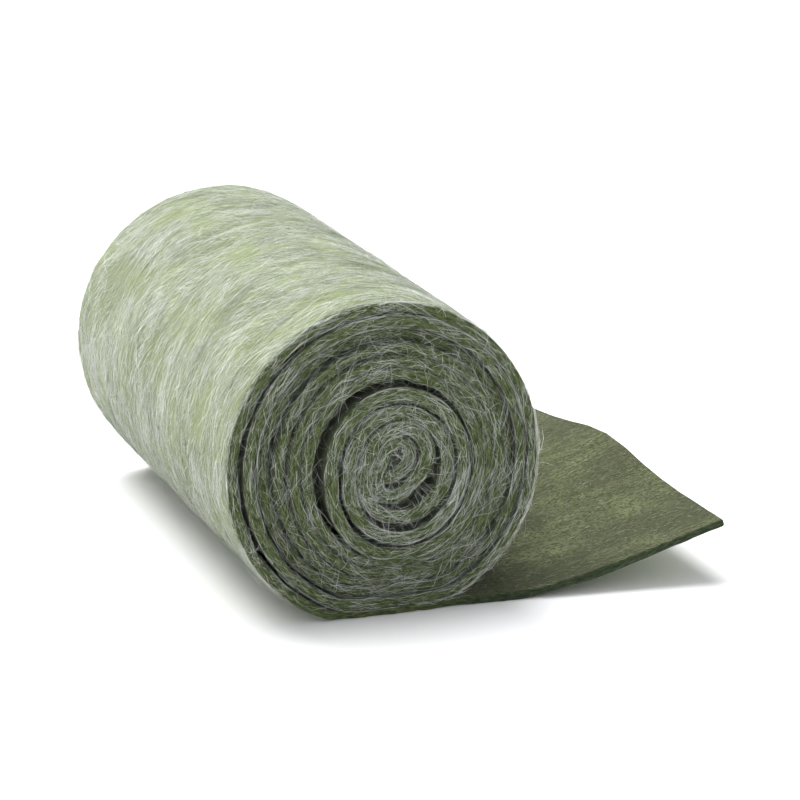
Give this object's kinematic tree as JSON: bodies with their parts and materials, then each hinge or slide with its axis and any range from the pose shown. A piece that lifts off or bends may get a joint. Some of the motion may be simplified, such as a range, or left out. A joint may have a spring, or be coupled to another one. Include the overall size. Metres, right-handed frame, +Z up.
{
  "type": "roll of felt",
  "caption": "Strip of thick wool felt wound into a roll with air between its inner turns, lying on its side with the outer end loose and curling up.",
  "frame": {"origin": "bottom centre of the bounding box, on the floor under the roll's flat spot and the start of the loose end", "axes": "+Y along the roll's axis, away from the end that is seen; +X across the roll, towards the loose end; +Z up"},
  "size_m": [0.1258, 0.1576, 0.0765],
  "materials": {
    "sage_green_felt": "matte, hairy"
  },
  "bodies": {
    "root": {"felt_strip": "sage_green_felt"}
  },
  "joints": []
}
